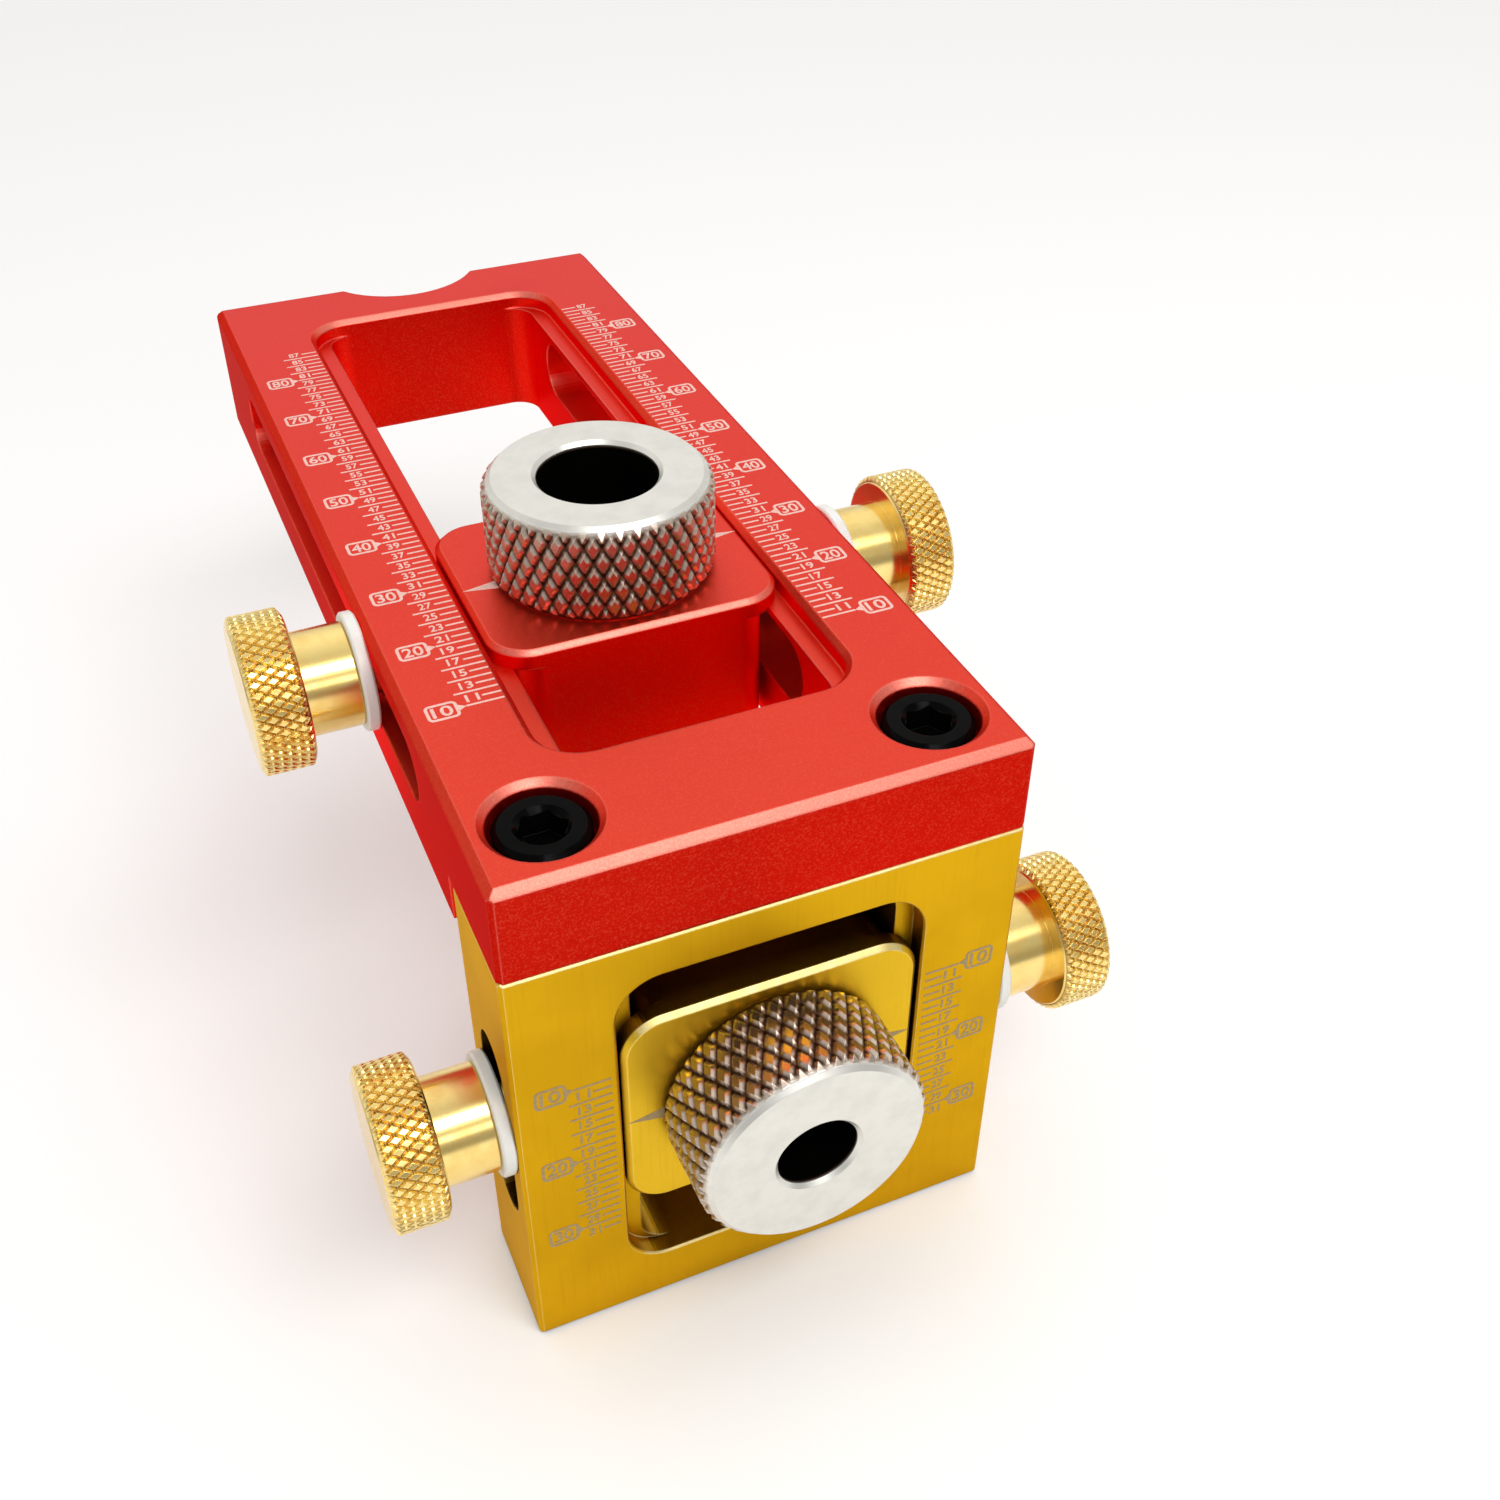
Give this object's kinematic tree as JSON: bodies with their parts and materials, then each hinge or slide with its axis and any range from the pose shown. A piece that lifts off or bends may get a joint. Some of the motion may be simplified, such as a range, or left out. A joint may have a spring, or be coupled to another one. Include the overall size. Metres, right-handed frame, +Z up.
{
  "type": "pocket hole jig",
  "caption": "Corner-shaped drilling jig: two anodised frames, each with a sliding block that carries a knurled steel drill bush and is clamped by brass thumb screws.",
  "frame": {"origin": "the board's edge at the middle of the jig's width: z = 0 is the top frame's underside, which lies on the board's top face, and y = 0 is the front frame's back face, which lies on the board's edge face", "axes": "+X to the right as seen from the front, +Y back along the top frame over the board, +Z up out of the board's top face"},
  "size_m": [0.0738, 0.1292, 0.0704],
  "materials": {
    "red_anodised": "satin anodised",
    "gold_anodised": "satin anodised",
    "bush_steel": "turned, knurled",
    "brass": "polished, knurled",
    "white_nylon": "moulded",
    "black_steel": "black oxide"
  },
  "bodies": {
    "frame": {"top_frame": "red_anodised", "front_frame": "gold_anodised", "cap_screw_left": "black_steel", "cap_screw_right": "black_steel"},
    "top_slider": {"top_slider": "red_anodised"},
    "front_slider": {"front_slider": "gold_anodised"},
    "top_bush": {"top_bush": "bush_steel"},
    "front_bush": {"front_bush": "bush_steel"},
    "top_washer_left": {"top_washer_left": "white_nylon"},
    "top_washer_right": {"top_washer_right": "white_nylon"},
    "front_washer_left": {"front_washer_left": "white_nylon"},
    "front_washer_right": {"front_washer_right": "white_nylon"},
    "top_screw_left": {"top_screw_left": "brass"},
    "top_screw_right": {"top_screw_right": "brass"},
    "front_screw_left": {"front_screw_left": "brass"},
    "front_screw_right": {"front_screw_right": "brass"}
  },
  "joints": [
    {"name": "top_slider_travel", "type": "slide", "parent": "frame", "child": "top_slider", "axis": [0, 1, 0], "range_m": [-0.0152, 0.0537]},
    {"name": "front_slider_travel", "type": "slide", "parent": "frame", "child": "front_slider", "axis": [0, 0, 1], "range_m": [-0.0086, 0.0051]},
    {"name": "top_bush_out", "type": "slide", "parent": "top_slider", "child": "top_bush", "axis": [0, 0, 1], "range_m": [0, 0.014]},
    {"name": "front_bush_out", "type": "slide", "parent": "front_slider", "child": "front_bush", "axis": [0, -1, 0], "range_m": [0, 0.014]},
    {"name": "top_washer_left_back_off", "type": "slide", "parent": "top_slider", "child": "top_washer_left", "axis": [-1, 0, 0], "range_m": [0, 0.0015]},
    {"name": "top_screw_left_turn", "type": "hinge", "parent": "top_washer_left", "child": "top_screw_left", "pos_m": [-0.025, 0.028, 0.0092], "axis": [-1, 0, 0], "range_deg": [0, 540]},
    {"name": "top_washer_right_back_off", "type": "slide", "parent": "top_slider", "child": "top_washer_right", "axis": [1, 0, 0], "range_m": [0, 0.0015]},
    {"name": "top_screw_right_turn", "type": "hinge", "parent": "top_washer_right", "child": "top_screw_right", "pos_m": [0.025, 0.028, 0.0092], "axis": [1, 0, 0], "range_deg": [0, 540]},
    {"name": "front_washer_left_back_off", "type": "slide", "parent": "front_slider", "child": "front_washer_left", "axis": [-1, 0, 0], "range_m": [0, 0.0015]},
    {"name": "front_screw_left_turn", "type": "hinge", "parent": "front_washer_left", "child": "front_screw_left", "pos_m": [-0.025, -0.0082, -0.017], "axis": [-1, 0, 0], "range_deg": [0, 540]},
    {"name": "front_washer_right_back_off", "type": "slide", "parent": "front_slider", "child": "front_washer_right", "axis": [1, 0, 0], "range_m": [0, 0.0015]},
    {"name": "front_screw_right_turn", "type": "hinge", "parent": "front_washer_right", "child": "front_screw_right", "pos_m": [0.025, -0.0082, -0.017], "axis": [1, 0, 0], "range_deg": [0, 540]}
  ],
  "couplings": [
    {"joint": "top_screw_left_turn", "follows": "top_washer_left_back_off", "rad_per_m": 6283.2},
    {"joint": "top_screw_right_turn", "follows": "top_washer_right_back_off", "rad_per_m": 6283.2},
    {"joint": "front_screw_left_turn", "follows": "front_washer_left_back_off", "rad_per_m": 6283.2},
    {"joint": "front_screw_right_turn", "follows": "front_washer_right_back_off", "rad_per_m": 6283.2}
  ]
}
